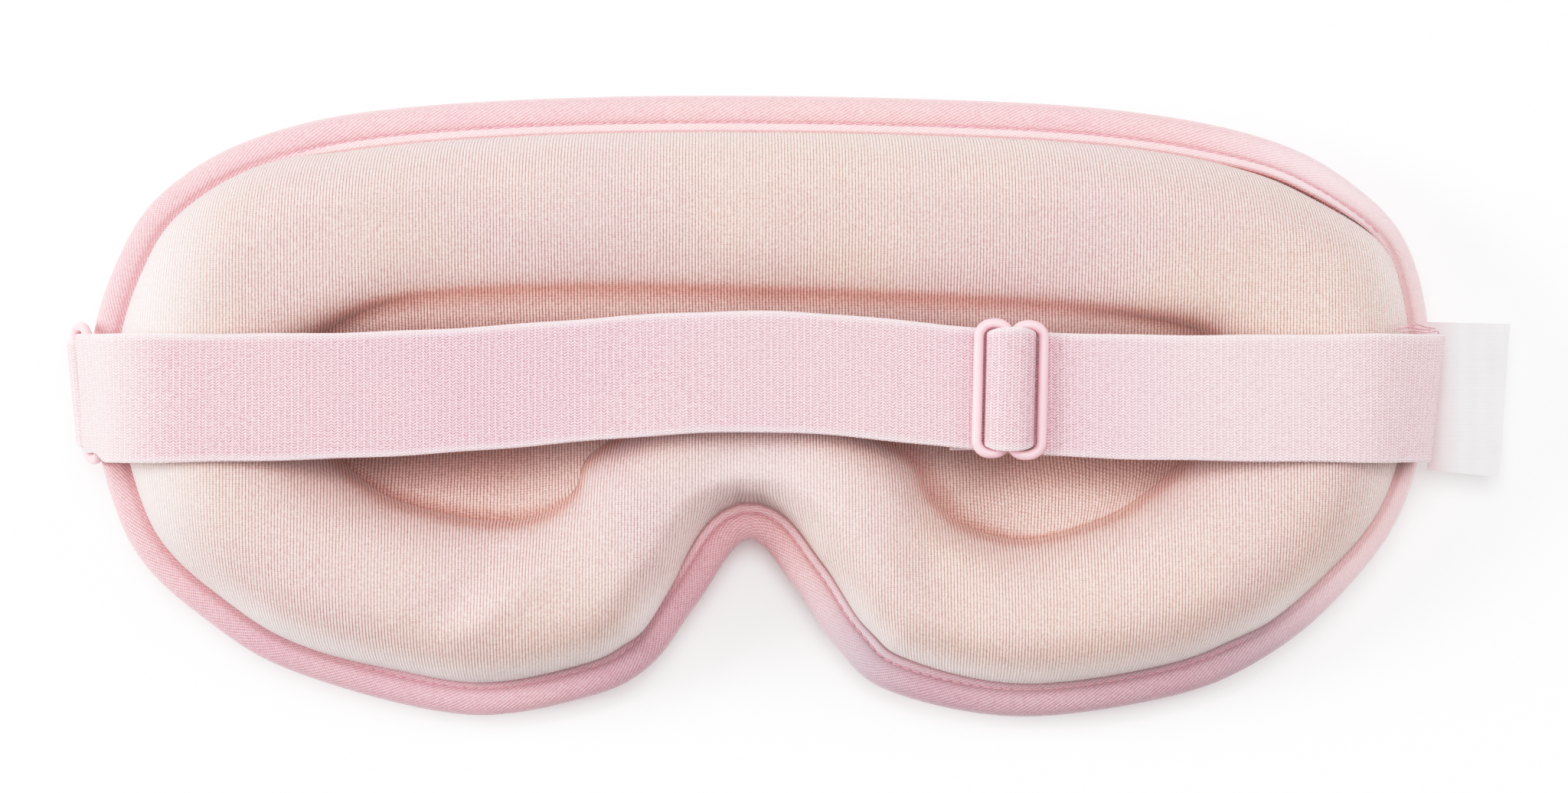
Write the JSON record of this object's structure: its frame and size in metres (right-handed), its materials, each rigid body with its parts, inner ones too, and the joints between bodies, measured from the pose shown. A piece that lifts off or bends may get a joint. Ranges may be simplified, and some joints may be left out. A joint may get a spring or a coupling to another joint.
{
  "type": "contoured sleep mask",
  "caption": "Contoured foam sleep mask with eye cups, bound edge, adjustable elastic strap with slider and ring, and a blank care label.",
  "frame": {"origin": "middle of the flat patch on the front that the mask rests on, lying face side up", "axes": "+X along the mask towards the care label, +Y towards the forehead edge, +Z towards the wearer's face"},
  "size_m": [0.2446, 0.1053, 0.0338],
  "materials": {
    "cover_fabric": "smooth knit",
    "foam": "open-cell foam",
    "blackout_fabric": "coated cloth",
    "lining_knit": "fine ribbed knit",
    "binding_tape": "soft twill tape",
    "thread": "polyester thread",
    "elastic": "woven elastic",
    "moulded_plastic": "gloss moulding",
    "label_satin": "satin ribbon"
  },
  "bodies": {
    "mask": {"front_cover": "cover_fabric", "front_foam": "foam", "blackout_layer": "blackout_fabric", "face_foam": "foam", "face_lining": "lining_knit", "edge_binding": "binding_tape", "binding_thread": "thread", "strap_ring_fold": "elastic", "strap_seam_end": "elastic", "strap_ring": "moulded_plastic", "ring_tab": "elastic", "seam_tack_left": "thread", "seam_tack_right": "thread"},
    "strap": {"strap_band": "elastic", "strap_return": "elastic"},
    "slider": {"slider_frame": "moulded_plastic", "strap_crossing": "elastic", "strap_bar_loop": "elastic", "strap_loop_end": "elastic", "loop_stitches": "thread"},
    "label": {"care_label": "label_satin"}
  },
  "joints": [
    {"name": "strap_lift", "type": "slide", "parent": "mask", "child": "strap", "axis": [0, 0, 1], "range_m": [0, 0.045], "deforming": ["strap_ring_fold", "strap_seam_end"]},
    {"name": "slider_slide", "type": "slide", "parent": "strap", "child": "slider", "axis": [1, 0, 0], "range_m": [-0.085, 0.038], "deforming": ["strap_return"]},
    {"name": "label_flap", "type": "hinge", "parent": "mask", "child": "label", "pos_m": [0.1136, 0, 0.0096], "axis": [0, 1, 0], "range_deg": [-30, 35]}
  ]
}
